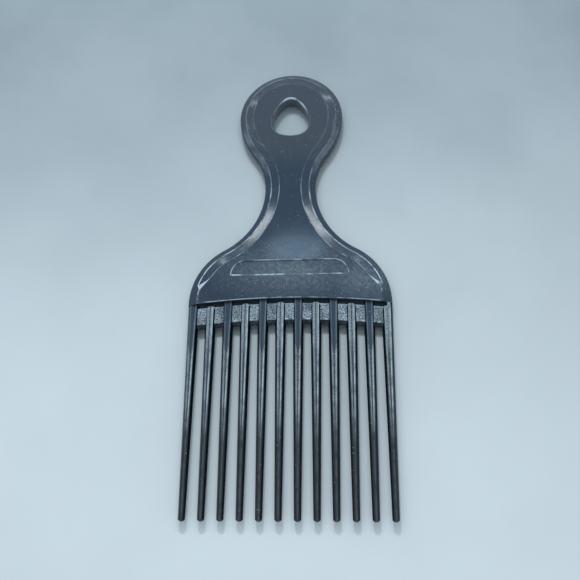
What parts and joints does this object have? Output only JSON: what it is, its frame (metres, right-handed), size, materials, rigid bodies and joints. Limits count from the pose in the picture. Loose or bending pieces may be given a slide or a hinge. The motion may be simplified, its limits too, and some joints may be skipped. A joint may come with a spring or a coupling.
{
  "type": "afro pick",
  "caption": "Flat moulded hair pick: ring handle with a hanging hole, waisted neck, wide shoulder with a shallow thumb rest, and long straight tapering teeth on a thin bar.",
  "frame": {"origin": "centre of the comb's length and width, on the back face that it lies on", "axes": "+Y along the comb toward the ring, +X across it to the right seen from the front, +Z out of the front face"},
  "size_m": [0.0738, 0.175, 0.0056],
  "materials": {
    "handle_plastic": "polished dark slate moulding, dusty and lightly scratched",
    "bar_plastic": "rough dark slate moulding",
    "tooth_plastic": "polished dark slate moulding with worn edges"
  },
  "bodies": {
    "root": {"handle": "handle_plastic", "root_bar": "bar_plastic", "tooth_01": "tooth_plastic", "tooth_02": "tooth_plastic", "tooth_03": "tooth_plastic", "tooth_04": "tooth_plastic", "tooth_05": "tooth_plastic", "tooth_06": "tooth_plastic", "tooth_07": "tooth_plastic", "tooth_08": "tooth_plastic", "tooth_09": "tooth_plastic", "tooth_10": "tooth_plastic", "tooth_11": "tooth_plastic", "tooth_12": "tooth_plastic"}
  },
  "joints": []
}
